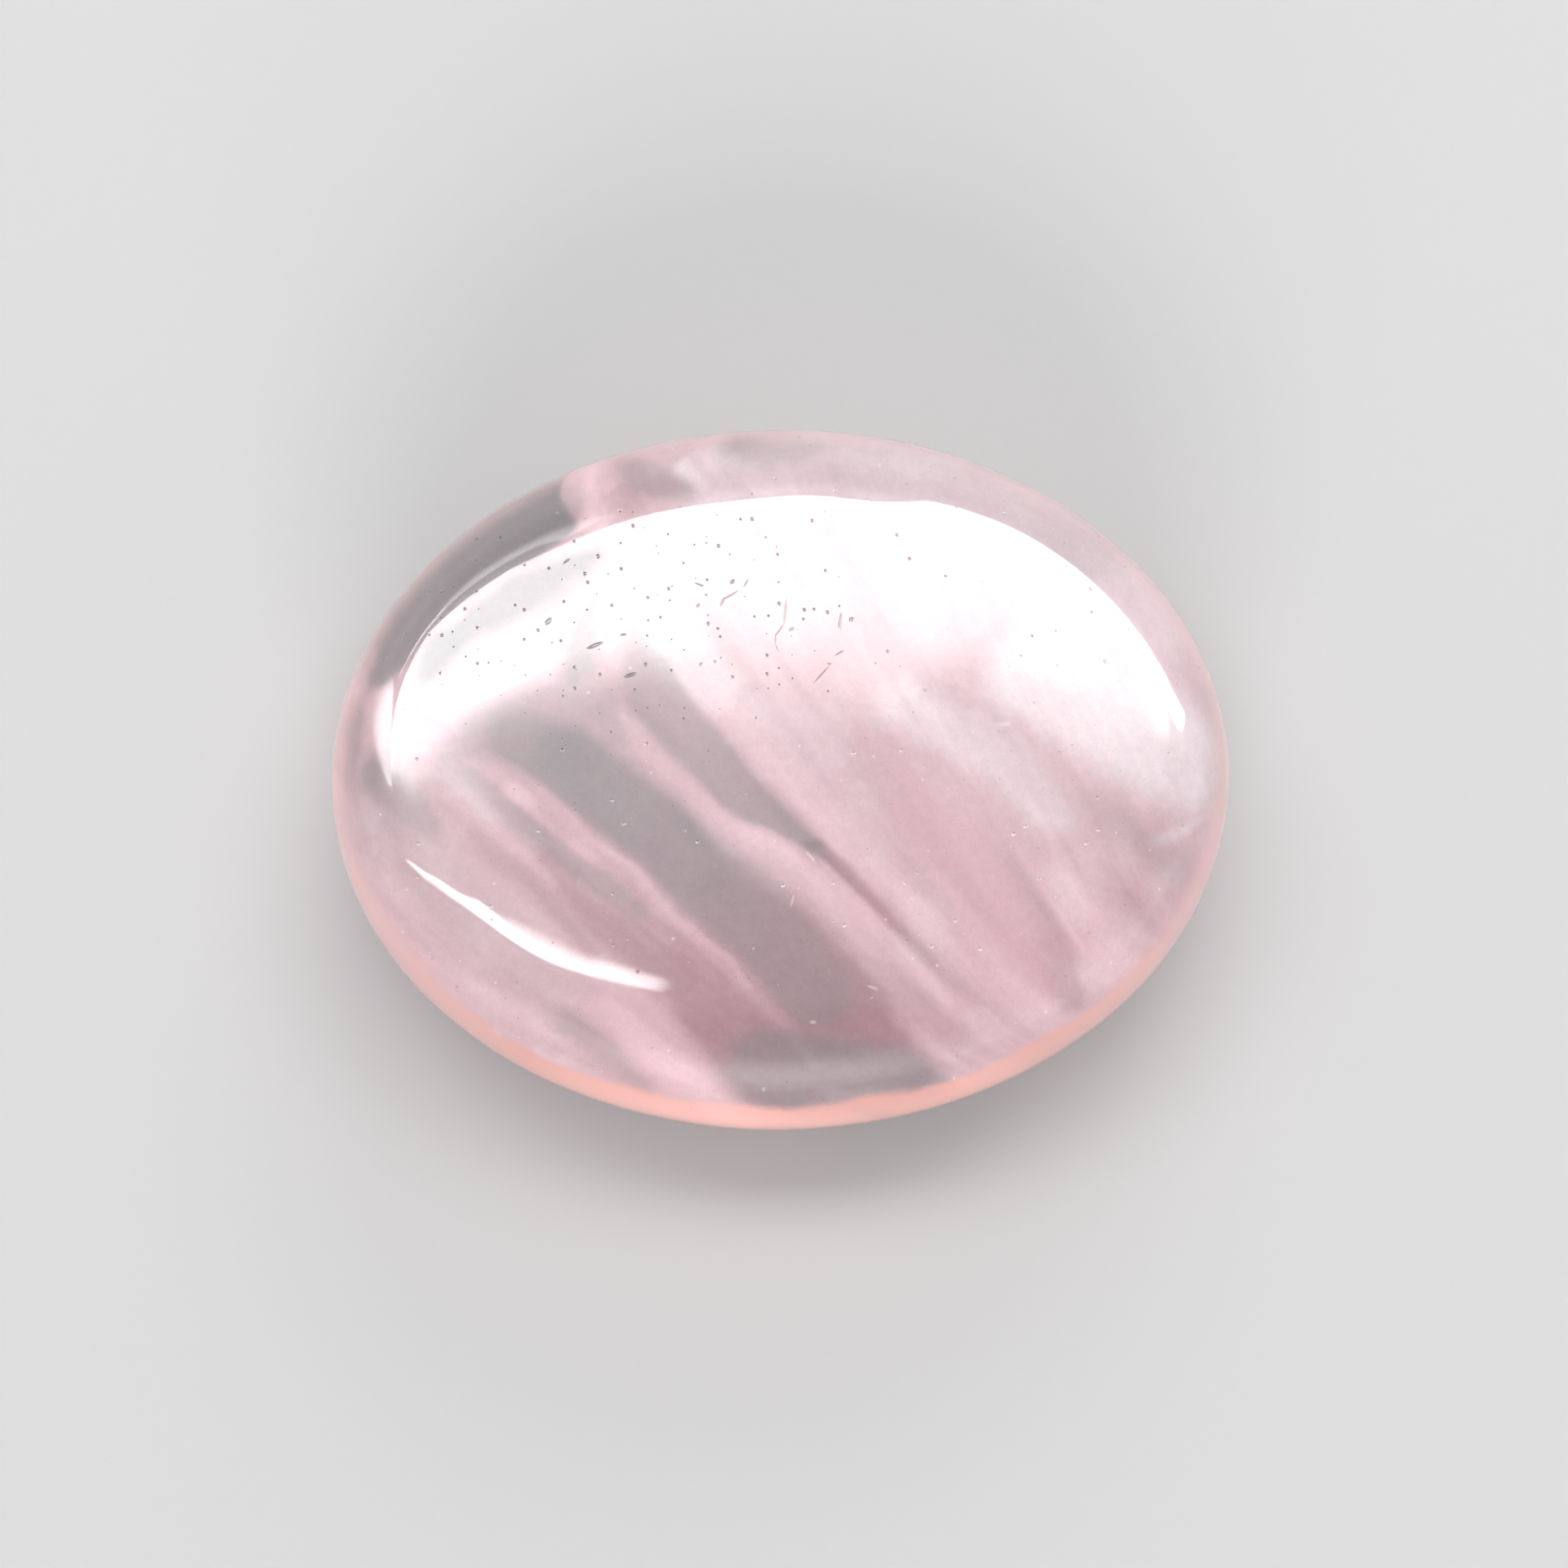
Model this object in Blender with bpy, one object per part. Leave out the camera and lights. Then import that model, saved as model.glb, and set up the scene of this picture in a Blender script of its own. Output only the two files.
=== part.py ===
"""A polished rose quartz palm stone: an oval, pillow-shaped pebble with a flat spot to rest on.

The outline is an ellipse. The crown is a shallow dome, almost level over the middle, which turns at
a shoulder and rolls down to a full round edge. The roll is narrower at the two ends than along the
sides. The underside has the same section, a little shallower, and is ground flat under the middle.
Run it in Blender: it models the stone in metres, +Z up, with the origin under the middle of the
flat spot and the long axis along X.
"""

from math import acos, atan2, cos, pi, sin

import bmesh
import bpy

# Driving dimensions, in metres
LENGTH = 0.060
WIDTH = 0.048
CROWN_HEIGHT = 0.0078
BELLY_DEPTH = 0.0072

# Width of the rolled edge, as a share of the way from the middle to the outline
END_ROLL = 0.19
SIDE_ROLL = 0.28

# How much the dome has fallen at the outline, as a share of its height
DOME_FALL = 0.17

# How gently the roll leaves the dome: 2 is an ellipse, and more starts slower
ROLL_POWER = 2.3

# The flat spot's size as a share of the outline
FLAT_SHARE = 0.24

# How finely the surface is divided, and the share of the rings that lies on the dome
SEGMENTS = 96
HALF_RINGS = 22
DOME_RINGS_SHARE = 0.58

# Finish: pale rose colour, polished
ROSE_COLOUR = (0.72, 0.49, 0.52, 1.0)
POLISH_ROUGHNESS = 0.06


def clear_scene():
    """Removes the objects that the scene starts with."""
    for item in list(bpy.data.objects):
        bpy.data.objects.remove(item, do_unlink=True)


def make_rose_quartz():
    """The stone's material."""
    material = bpy.data.materials.new("rose_quartz")
    material.use_nodes = True
    shader = material.node_tree.nodes["Principled BSDF"]
    shader.inputs["Base Color"].default_value = ROSE_COLOUR
    shader.inputs["Roughness"].default_value = POLISH_ROUGHNESS
    shader.inputs["Metallic"].default_value = 0.0
    material.diffuse_color = ROSE_COLOUR
    return material


def dome_height(reach):
    """Height of the dome over the edge at a share of the way out, as a share of its middle height."""
    return 1.0 - DOME_FALL * reach**2


def section_point(step, around):
    """(share of the way out, height share) on the section, for a step from 0, middle, to 1, edge."""
    roll = END_ROLL * cos(around) ** 2 + SIDE_ROLL * sin(around) ** 2
    if step <= DOME_RINGS_SHARE:
        reach = (1.0 - roll) * step / DOME_RINGS_SHARE
        return reach, dome_height(reach)
    turn = 0.5 * pi * (step - DOME_RINGS_SHARE) / (1.0 - DOME_RINGS_SHARE)
    reach = 1.0 - roll + roll * sin(turn) ** (2.0 / ROLL_POWER)
    return reach, dome_height(reach) * cos(turn)


def crown_point(ring, around):
    """(share of the way out, height over the edge) on the upper face, ring 0 being the middle."""
    reach, share = section_point(ring / HALF_RINGS, around)
    return reach, CROWN_HEIGHT * share


def belly_point(ring, around):
    """The same on the underside, where ring 1 is the rim of the flat spot."""
    if ring == 0:
        return 0.0, -BELLY_DEPTH
    roll = END_ROLL * cos(around) ** 2 + SIDE_ROLL * sin(around) ** 2
    flat_step = FLAT_SHARE / (1.0 - roll) * DOME_RINGS_SHARE
    step = flat_step + (1.0 - flat_step) * (ring - 1) / (HALF_RINGS - 1)
    reach, share = section_point(step, around)
    return reach, -BELLY_DEPTH * share / dome_height(FLAT_SHARE)


def shape_stone(mesh):
    """Moves the points of a unit sphere onto the stone's surface, ring by ring."""
    for point in mesh.verts:
        x, y, z = point.co
        ring = round(acos(max(-1.0, min(1.0, z))) / pi * 2 * HALF_RINGS)
        around = atan2(y, x)
        if ring <= HALF_RINGS:
            reach, height = crown_point(ring, around)
        else:
            reach, height = belly_point(2 * HALF_RINGS - ring, around)
        point.co.x = 0.5 * LENGTH * reach * cos(around)
        point.co.y = 0.5 * WIDTH * reach * sin(around)
        point.co.z = BELLY_DEPTH + height


def make_palm_stone(collection, material):
    """The stone, from a UV sphere."""
    shape = bmesh.new()
    bmesh.ops.create_uvsphere(
        shape, u_segments=SEGMENTS, v_segments=2 * HALF_RINGS, radius=1.0
    )
    shape_stone(shape)
    mesh = bpy.data.meshes.new("palm_stone")
    shape.to_mesh(mesh)
    shape.free()
    mesh.materials.append(material)
    mesh.shade_smooth()
    stone = bpy.data.objects.new("palm_stone", mesh)
    collection.objects.link(stone)
    return stone


def main():
    clear_scene()
    collection = bpy.data.collections.new("crystal_palm_stone")
    bpy.context.scene.collection.children.link(collection)
    make_palm_stone(collection, make_rose_quartz())


main()
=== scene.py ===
"""Looks of a polished rose quartz palm stone: its fine surface, its stone and a plain studio round it."""

from math import cos, pi, radians, sin
from typing import NamedTuple

import bpy
import numpy as np
from bpy.props import FloatProperty, FloatVectorProperty, PointerProperty
from mathutils import Matrix, Vector


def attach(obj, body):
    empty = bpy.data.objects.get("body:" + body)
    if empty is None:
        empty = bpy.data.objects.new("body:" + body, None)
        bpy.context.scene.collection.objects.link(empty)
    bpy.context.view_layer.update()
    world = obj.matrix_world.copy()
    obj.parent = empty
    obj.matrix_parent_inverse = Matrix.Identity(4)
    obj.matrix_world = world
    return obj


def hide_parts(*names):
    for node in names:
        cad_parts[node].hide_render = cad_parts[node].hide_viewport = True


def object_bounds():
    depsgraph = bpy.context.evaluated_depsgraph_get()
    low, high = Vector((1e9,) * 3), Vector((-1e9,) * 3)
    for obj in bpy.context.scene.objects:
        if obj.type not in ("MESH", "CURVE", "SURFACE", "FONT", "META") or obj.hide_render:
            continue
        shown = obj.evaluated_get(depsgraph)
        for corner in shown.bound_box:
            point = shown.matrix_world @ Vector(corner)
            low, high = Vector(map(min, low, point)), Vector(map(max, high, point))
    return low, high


bl_info = {
    "name": "Rose quartz palm stone",
    "version": (1, 0, 0),
    "blender": (4, 5, 0),
    "location": "3D View > Sidebar > Palm stone",
    "description": "Makes the fine surface and the quartz of a polished palm stone, and a studio",
    "category": "Object",
}

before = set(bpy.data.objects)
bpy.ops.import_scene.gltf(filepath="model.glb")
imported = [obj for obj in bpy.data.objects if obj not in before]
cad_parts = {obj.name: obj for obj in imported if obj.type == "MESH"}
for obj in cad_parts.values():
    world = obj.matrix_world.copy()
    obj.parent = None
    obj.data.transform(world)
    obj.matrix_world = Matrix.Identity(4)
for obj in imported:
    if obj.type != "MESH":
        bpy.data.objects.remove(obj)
SOLID_LOW, SOLID_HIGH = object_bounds()

MM = 0.001
HALF_LENGTH = (SOLID_HIGH.x - SOLID_LOW.x) / 2
HALF_WIDTH = (SOLID_HIGH.y - SOLID_LOW.y) / 2
HEIGHT = SOLID_HIGH.z - SOLID_LOW.z

# The level where the stone is widest, as a share of its height
EQUATOR = 0.48

# How finely the surface is divided, and the share of its rows that lies on the dome
AROUND = 480
CROWN_ROWS = 150
BELLY_ROWS = 54
DOME_ROWS_SHARE = 0.66

# The middle of the picture, and where the stone's middle lies in it, in pixels
PICTURE_MIDDLE = (960.0, 960.0)
STONE_IN_PICTURE = (955.4, 951.3)
HALF_LENGTH_IN_PICTURE = 549.0
PICTURE_SIDE = 1920.0

# What all the colour properties share
COLOUR = {"min": 0.0, "max": 1.0, "size": 3, "subtype": "COLOR"}


class PalmStoneShape(bpy.types.PropertyGroup):
    """Shape of the palm stone"""

    equator: FloatProperty(
        name="Widest level",
        description="Height of the outline over the flat spot, as a share of the whole height",
        default=EQUATOR,
        min=0.3,
        max=0.7,
        subtype="FACTOR",
    )
    end_roll: FloatProperty(
        name="Roll at the ends",
        description="Width of the rolled edge at the two ends, as a share of the half length",
        default=0.19,
        min=0.05,
        max=0.9,
        subtype="FACTOR",
    )
    side_roll: FloatProperty(
        name="Roll at the sides",
        description="Width of the rolled edge along the sides, as a share of the half width",
        default=0.28,
        min=0.05,
        max=0.9,
        subtype="FACTOR",
    )
    dome_fall: FloatProperty(
        name="Dome fall",
        description="How much the dome has fallen at the outline, as a share of its height",
        default=0.17,
        min=0.0,
        max=0.9,
        subtype="FACTOR",
    )
    roll_power: FloatProperty(
        name="Roll power",
        description="How gently the roll leaves the dome: 2 is an ellipse, and more starts slower",
        default=2.3,
        min=1.5,
        max=6.0,
    )
    flat_share: FloatProperty(
        name="Flat spot",
        description="Size of the flat spot as a share of the outline",
        default=0.24,
        min=0.05,
        max=0.8,
        subtype="FACTOR",
    )
    wave_height: FloatProperty(
        name="Polish waves",
        description="Height of the broad, shallow waves that polishing leaves",
        default=0.01 * MM,
        min=0.0,
        subtype="DISTANCE",
        unit="LENGTH",
        precision=6,
    )


class PalmStoneFinish(bpy.types.PropertyGroup):
    """Colours and polish of the palm stone"""

    rose: FloatVectorProperty(
        name="Rose",
        description="The pink of the stone's cloudy ground",
        default=(0.645, 0.44, 0.478),
        **COLOUR,
    )
    deep: FloatVectorProperty(
        name="Deep rose",
        description="The darker mauve where the stone is clear and thick",
        default=(0.375, 0.215, 0.24),
        **COLOUR,
    )
    clear: FloatVectorProperty(
        name="Clear grey",
        description="The grey of the clear bands",
        default=(0.32, 0.295, 0.305),
        **COLOUR,
    )
    ridge: FloatVectorProperty(
        name="Ridges",
        description="The pale pink of the milky ridges",
        default=(0.80, 0.56, 0.60),
        **COLOUR,
    )
    # Partly painted light: the pale haze, which next to the highlight also stands in for the highlight's
    # soft glow
    haze_and_painted_glow: FloatVectorProperty(
        name="Haze",
        description="The pale grey pink of the hazy places",
        default=(0.83, 0.725, 0.75),
        **COLOUR,
    )
    blush: FloatVectorProperty(
        name="Blush",
        description="The warmer pink of some places in the ground",
        default=(0.68, 0.405, 0.435),
        **COLOUR,
    )
    # Painted light: the salmon glow of the rim, where light comes through the thin edge, painted into the
    # colour
    salmon: FloatVectorProperty(
        name="Salmon",
        description="The glow of the rim, where light comes through the thin edge",
        default=(0.95, 0.49, 0.425),
        **COLOUR,
    )
    # Painted light: the paler glow of the rim along the sides and the back, painted into the colour
    shell: FloatVectorProperty(
        name="Shell pink",
        description="The paler glow of the rim along the sides and the back",
        default=(0.89, 0.53, 0.53),
        **COLOUR,
    )
    depth_tint: FloatVectorProperty(
        name="Depth tint",
        description="The colour that light takes on inside the stone",
        default=(1.0, 0.74, 0.71),
        **COLOUR,
    )
    depth_density: FloatProperty(
        name="Depth density",
        description="How fast the stone tints light, for each metre of its way inside",
        default=45.0,
        min=0.0,
    )


class PalmStoneStudio(bpy.types.PropertyGroup):
    """Camera, lights and floor"""

    elevation: FloatProperty(
        name="Camera elevation",
        description="Angle of the camera above the floor",
        default=radians(75.0),
        subtype="ANGLE",
        unit="ROTATION",
    )
    azimuth: FloatProperty(
        name="Camera azimuth",
        description="Turn of the camera round the stone; 0 looks along +Y",
        default=radians(-1.07),
        subtype="ANGLE",
        unit="ROTATION",
    )
    distance: FloatProperty(
        name="Camera distance",
        description="From the camera to the middle of the stone",
        default=0.5,
        min=0.1,
        subtype="DISTANCE",
        unit="LENGTH",
    )
    floor: FloatVectorProperty(
        name="Floor",
        description="Colour of the plain pale floor",
        default=(0.55, 0.546, 0.542),
        **COLOUR,
    )


class Graph:
    """Adds nodes to a node tree. Each call takes plain values or outputs and gives back an output."""

    def __init__(self, tree):
        self.tree = tree

    def put(self, socket, value):
        """Links an output into a socket, or sets the socket to a plain value."""
        if isinstance(value, bpy.types.NodeSocket):
            self.tree.links.new(value, socket)
        elif socket.type == "RGBA" and len(value) == 3:
            socket.default_value = (*value, 1.0)
        else:
            socket.default_value = value

    def node(self, kind, inputs, **settings):
        made = self.tree.nodes.new(kind)
        for name, value in settings.items():
            setattr(made, name, value)
        for key, value in inputs.items():
            self.put(made.inputs[key], value)
        return made

    def math(self, operation, first, second=0.0, third=0.0, clamp=False):
        inputs = {0: first, 1: second, 2: third}
        made = self.node("ShaderNodeMath", inputs, operation=operation, use_clamp=clamp)
        return made.outputs[0]

    def vector(self, operation, first, second=(0.0, 0.0, 0.0), scale=1.0):
        inputs = {0: first, 3: scale} if operation == "SCALE" else {0: first, 1: second}
        made = self.node("ShaderNodeVectorMath", inputs, operation=operation)
        return made.outputs["Value" if operation in ("DISTANCE", "DOT_PRODUCT") else "Vector"]

    def split(self, place):
        made = self.node("ShaderNodeSeparateXYZ", {0: place})
        return made.outputs[0], made.outputs[1], made.outputs[2]

    def join(self, x, y, z):
        return self.node("ShaderNodeCombineXYZ", {0: x, 1: y, 2: z}).outputs[0]

    def ease(self, value, start, end, low=0.0, high=1.0):
        """Goes smoothly from low to high while value goes from start to end."""
        inputs = {"Value": value, 1: start, 2: end, 3: low, 4: high}
        made = self.node("ShaderNodeMapRange", inputs, interpolation_type="SMOOTHSTEP")
        return made.outputs["Result"]

    def ramp(self, value, start, end, low=0.0, high=1.0):
        """Goes straight from low to high while value goes from start to end."""
        inputs = {"Value": value, 1: start, 2: end, 3: low, 4: high}
        return self.node("ShaderNodeMapRange", inputs).outputs["Result"]

    def noise(self, place, scale, detail=2.0, roughness=0.5):
        inputs = {"Vector": place, "Scale": scale, "Detail": detail, "Roughness": roughness}
        return self.node("ShaderNodeTexNoise", inputs)

    def follow(self, value, points):
        """Follows straight lines between (value, result) points, both from 0 to 1."""
        made = self.node("ShaderNodeFloatCurve", {"Value": value})
        line = made.mapping.curves[0]
        line.points[0].location = points[0]
        line.points[-1].location = points[-1]
        for point in points[1:-1]:
            line.points.new(*point)
        for point in line.points:
            point.handle_type = "VECTOR"
        made.mapping.update()
        return made.outputs[0]

    def mix(self, share, first, second, blend="MIX"):
        made = self.node("ShaderNodeMix", {}, data_type="RGBA", blend_type=blend)
        self.put(made.inputs["Factor"], share)
        self.put(made.inputs[6], first)
        self.put(made.inputs[7], second)
        return made.outputs[2]


class Veil(NamedTuple):
    """A sheet inside the stone where it meets the crown's level, in millimetres.

    It follows its places with a half width at each. It ends sharply on the upper side of its way,
    to the left of it, and fades on the lower side, where it dips into the stone. Its strength goes
    evenly from the first place to the last.
    """

    places: list
    widths: list
    upper_edge: float
    lower_edge: float
    strength: float
    last: float


# The clear grey bands, seen from above with the long axis along X
CLEAR_VEILS = [
    Veil(
        [(-9.7, 8.9), (-9.3, 7.0), (-8.7, 5.0), (-7.9, 3.2), (-6.9, 1.7), (-5.8, 0.4), (-4.4, -1.2),
         (-2.9, -2.9), (-1.3, -4.4), (1.1, -6.3), (2.6, -7.4)],
        [0.1, 0.8, 1.4, 1.6, 1.5, 1.4, 1.3, 1.15, 0.9, 0.5, 0.2], 0.6, 1.1, 0.42, 0.52,
    ),
    Veil(
        [(-22.0, 0.2), (-19.6, 1.2), (-17.6, 1.1), (-14.6, -0.4)],
        [0.3, 1.1, 1.5, 1.6], 2.6, 1.4, 0.3, 0.8,
    ),
    Veil(
        [(-14.6, -0.4), (-12.6, -2.3), (-8.2, -5.9), (-5.1, -9.4), (-1.4, -12.8), (1.6, -16.8)],
        [1.6, 1.8, 1.9, 2.05, 1.95, 2.0], 2.2, 0.9, 0.85, 0.42,
    ),
    Veil(
        [(-20.9, 0.9), (-18.9, 2.3), (-16.9, 3.0), (-14.0, 3.5), (-11.9, 3.0), (-10.6, 1.0)],
        [0.4, 0.6, 0.8, 0.9, 0.8, 0.4], 0.7, 2.0, 0.45, 0.4,
    ),
    Veil([(-1.2, -22.2), (3.4, -22.8), (6.6, -22.6)], [2.4, 2.2, 1.4], 1.6, 3.4, 0.55, 0.6),
    Veil(
        [(-22.1, -0.3), (-19.9, -2.3), (-17.9, -4.3), (-16.3, -5.6)],
        [0.5, 0.4, 0.5, 0.4], 0.6, 1.4, 0.3, 0.55,
    ),
    Veil(
        [(-16.3, -5.6), (-14.1, -7.5), (-11.9, -9.0), (-9.8, -10.7)],
        [0.4, 0.3, 0.5, 0.3], 0.6, 1.3, 0.55, 0.4,
    ),
    Veil([(-27.2, -1.6), (-25.0, -3.7), (-23.6, -5.2)], [1.0, 0.9, 0.4], 1.2, 1.8, 0.6, 0.45),
    Veil([(-26.6, -4.6), (-24.8, -6.2)], [0.3, 0.2], 0.8, 1.2, 0.4, 0.3),
    Veil([(-27.4, -3.0), (-22.0, -9.6), (-16.0, -15.0)], [1.4, 1.6, 1.2], 3.4, 3.4, 0.26, 0.22),
    Veil([(-14.8, -18.4), (-12.9, -20.6), (-11.0, -22.8)], [0.4, 0.7, 0.3], 1.4, 2.2, 0.45, 0.4),
    Veil([(-11.3, 19.6), (-8.6, 18.6), (-6.2, 17.6)], [0.5, 0.7, 0.3], 1.2, 1.3, 0.45, 0.4),
    Veil([(-3.4, 20.8), (-1.2, 20.5), (2.2, 20.4)], [0.3, 0.4, 0.2], 1.6, 1.6, 0.5, 0.4),
    Veil([(4.0, 19.4), (12.0, 17.4), (20.0, 12.4)], [1.2, 1.6, 1.2], 2.6, 2.6, 0.24, 0.3),
    Veil(
        [(-27.2, 6.2), (-24.7, 10.2), (-23.1, 11.8), (-20.5, 13.8), (-18.1, 14.9), (-16.8, 15.6),
         (-15.6, 16.2)],
        [1.5, 2.0, 2.15, 2.25, 2.3, 2.1, 1.8], 2.6, 0.5, 0.72, 0.95,
    ),
    Veil(
        [(-23.6, 5.6), (-22.4, 7.4), (-20.6, 8.8), (-17.4, 10.7), (-14.3, 12.3), (-12.4, 13.2)],
        [0.2, 0.6, 0.3, 0.8, 0.4, 0.1], 0.9, 1.6, 1.0, 0.8,
    ),
    Veil(
        [(-18.4, 6.8), (-16.7, 9.0), (-14.5, 11.2), (-12.7, 12.9)],
        [0.2, 0.5, 0.6, 0.2], 0.9, 1.2, 0.35, 0.6,
    ),
    Veil([(-13.5, 5.0), (-12.9, 7.8), (-12.4, 10.1)], [0.5, 0.6, 0.2], 1.2, 1.2, 0.6, 0.5),
    Veil(
        [(20.3, -4.0), (22.1, -5.7), (24.1, -7.3), (24.9, -8.6)],
        [0.3, 0.5, 0.4, 0.2], 1.6, 1.8, 0.3, 0.4,
    ),
    Veil([(24.3, -7.6), (25.3, -9.6)], [0.4, 0.3], 1.8, 1.8, 0.35, 0.35),
    Veil([(24.0, -1.5), (26.6, -4.0)], [1.6, 1.2], 2.8, 2.8, 0.2, 0.2),
    Veil([(27.5, 3.0), (27.8, -0.6), (27.3, -4.4)], [0.2, 0.3, 0.2], 0.9, 0.9, 0.3, 0.3),
    Veil([(-29.1, 3.0), (-29.7, -1.4)], [0.5, 0.4], 1.1, 1.1, 0.4, 0.4),
]
# The thick, clear places that look mauve
DEEP_VEILS = [
    Veil([(-0.2, -22.7), (3.1, -22.4), (6.4, -22.0)], [0.3, 0.7, 0.5], 1.0, 0.9, 0.8, 0.8),
    Veil(
        [(-17.5, -2.2), (-10.5, -8.0), (-5.6, -13.2), (-2.0, -18.0)],
        [1.0, 2.0, 2.4, 2.4], 1.2, 3.4, 0.32, 0.5,
    ),
    Veil(
        [(2.2, -7.1), (4.0, -8.7), (5.4, -10.1), (6.7, -11.6), (8.6, -13.6), (9.7, -15.3),
         (11.1, -16.7)],
        [0.4, 0.4, 0.3, 0.2, 0.12, 0.04, 0.0], 0.6, 1.1, 1.0, 0.2,
    ),
    Veil(
        [(-15.6, -7.4), (-12.0, -11.1), (-9.3, -13.6), (-7.2, -15.3)],
        [0.5, 0.8, 1.0, 1.1], 1.4, 2.0, 0.6, 0.85,
    ),
    Veil([(-20.4, -5.6), (-16.8, -8.9), (-12.8, -13.4)], [0.2, 0.4, 0.3], 0.8, 1.6, 0.35, 0.55),
    Veil([(-17.8, -3.7), (-14.6, -6.2), (-12.7, -8.0)], [0.1, 0.2, 0.1], 0.5, 1.0, 0.4, 0.5),
    Veil([(-9.8, -10.7), (-7.1, -13.2), (-4.5, -16.2)], [0.3, 0.5, 0.6], 0.6, 1.6, 0.5, 0.7),
    Veil(
        [(-4.0, -10.6), (0.0, -14.2), (3.4, -18.6), (6.8, -21.8)],
        [1.6, 2.4, 2.4, 1.2], 2.0, 3.0, 0.7, 0.85,
    ),
    Veil([(-6.6, -16.2), (-3.6, -19.6), (-1.6, -22.4)], [1.2, 2.0, 2.2], 2.0, 1.8, 0.75, 0.8),
    Veil(
        [(13.0, -6.4), (15.3, -9.7), (16.8, -12.2), (18.0, -14.8), (18.1, -17.4)],
        [0.1, 0.2, 0.3, 0.5, 0.5], 0.6, 2.0, 0.2, 0.5,
    ),
    Veil([(5.1, -14.6), (8.1, -17.2), (10.7, -19.8)], [0.3, 0.4, 0.3], 1.2, 1.6, 0.3, 0.45),
    Veil([(7.1, -15.2), (9.6, -18.1), (11.6, -20.7)], [0.2, 0.3, 0.2], 1.0, 1.6, 0.3, 0.35),
    Veil([(21.4, -9.4), (22.6, -11.6)], [0.5, 0.6], 2.0, 2.0, 0.3, 0.35),
    Veil([(12.2, 1.2), (15.6, -1.4), (18.6, -4.6)], [0.6, 0.7, 0.6], 2.2, 2.2, 0.25, 0.3),
]
# The pink ridges, which are milky
RIDGE_VEILS = [
    Veil([(-14.3, 18.9), (-13.9, 17.5), (-12.6, 15.6)], [0.9, 0.9, 0.8], 1.6, 0.4, 0.75, 0.6),
    Veil(
        [(-21.4, 0.6), (-19.4, 0.1), (-17.3, -1.3), (-15.4, -3.3), (-13.5, -5.1), (-11.9, -6.8)],
        [0.1, 0.2, 0.25, 0.2, 0.2, 0.15], 0.35, 0.8, 0.1, 0.36,
    ),
    Veil(
        [(-11.9, -6.8), (-10.0, -8.0), (-8.9, -9.7), (-7.3, -11.5), (-5.7, -12.8), (-3.8, -14.4),
         (-2.8, -16.1)],
        [0.15, 0.15, 0.2, 0.15, 0.1, 0.1, 0.05], 0.3, 0.7, 0.38, 0.3,
    ),
    Veil([(-17.6, -2.7), (-16.8, -3.4)], [0.4, 0.3], 0.8, 1.0, 0.45, 0.45),
    Veil([(-13.6, -6.5), (-12.4, -7.6)], [0.3, 0.2], 0.6, 0.9, 0.4, 0.4),
    Veil([(-22.0, -3.2), (-18.6, -6.0), (-15.4, -9.0)], [0.2, 0.3, 0.2], 0.6, 1.0, 0.2, 0.3),
    Veil([(-13.2, -9.2), (-10.6, -11.4), (-8.6, -13.4)], [0.1, 0.1, 0.1], 0.4, 0.7, 0.25, 0.2),
    Veil(
        [(-10.3, 2.4), (-9.7, 1.9), (-7.4, -1.0), (-5.8, -2.6), (-4.3, -4.3), (-2.5, -5.6)],
        [0.1, 0.2, 0.25, 0.3, 0.35, 0.4], 0.5, 1.7, 0.15, 0.5,
    ),
    Veil(
        [(-2.5, -5.6), (0.3, -7.0), (1.9, -8.0), (3.4, -9.5), (4.8, -10.9), (6.0, -12.4),
         (7.8, -14.5), (10.3, -17.5)],
        [0.4, 0.4, 0.4, 0.45, 0.45, 0.4, 0.35, 0.25], 0.5, 2.0, 0.55, 0.4,
    ),
    Veil(
        [(-6.6, 7.6), (-3.4, 2.4), (0.2, -2.6), (3.8, -6.8)],
        [0.4, 0.5, 0.4, 0.3], 2.6, 0.8, 0.4, 0.5,
    ),
    Veil(
        [(3.8, -6.8), (8.2, -10.9), (12.2, -14.3), (16.0, -17.6)],
        [0.4, 0.6, 0.6, 0.4], 0.9, 1.4, 0.45, 0.3,
    ),
    Veil(
        [(12.4, -4.0), (16.4, -7.8), (18.9, -11.6), (20.5, -15.6)],
        [0.5, 0.8, 0.9, 0.7], 2.4, 0.8, 0.2, 0.45,
    ),
    Veil(
        [(-11.4, -17.4), (-9.6, -19.8), (-7.5, -22.2), (-5.7, -24.8)],
        [0.2, 0.5, 0.6, 0.6], 0.6, 2.8, 0.4, 0.4,
    ),
    Veil([(-13.4, 17.0), (-12.2, 18.4)], [0.8, 1.0], 0.9, 0.45, 0.4, 0.4),
    Veil([(-29.9, 3.4), (-28.6, 6.2)], [0.7, 0.6], 0.8, 1.0, 0.5, 0.5),
]
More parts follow.
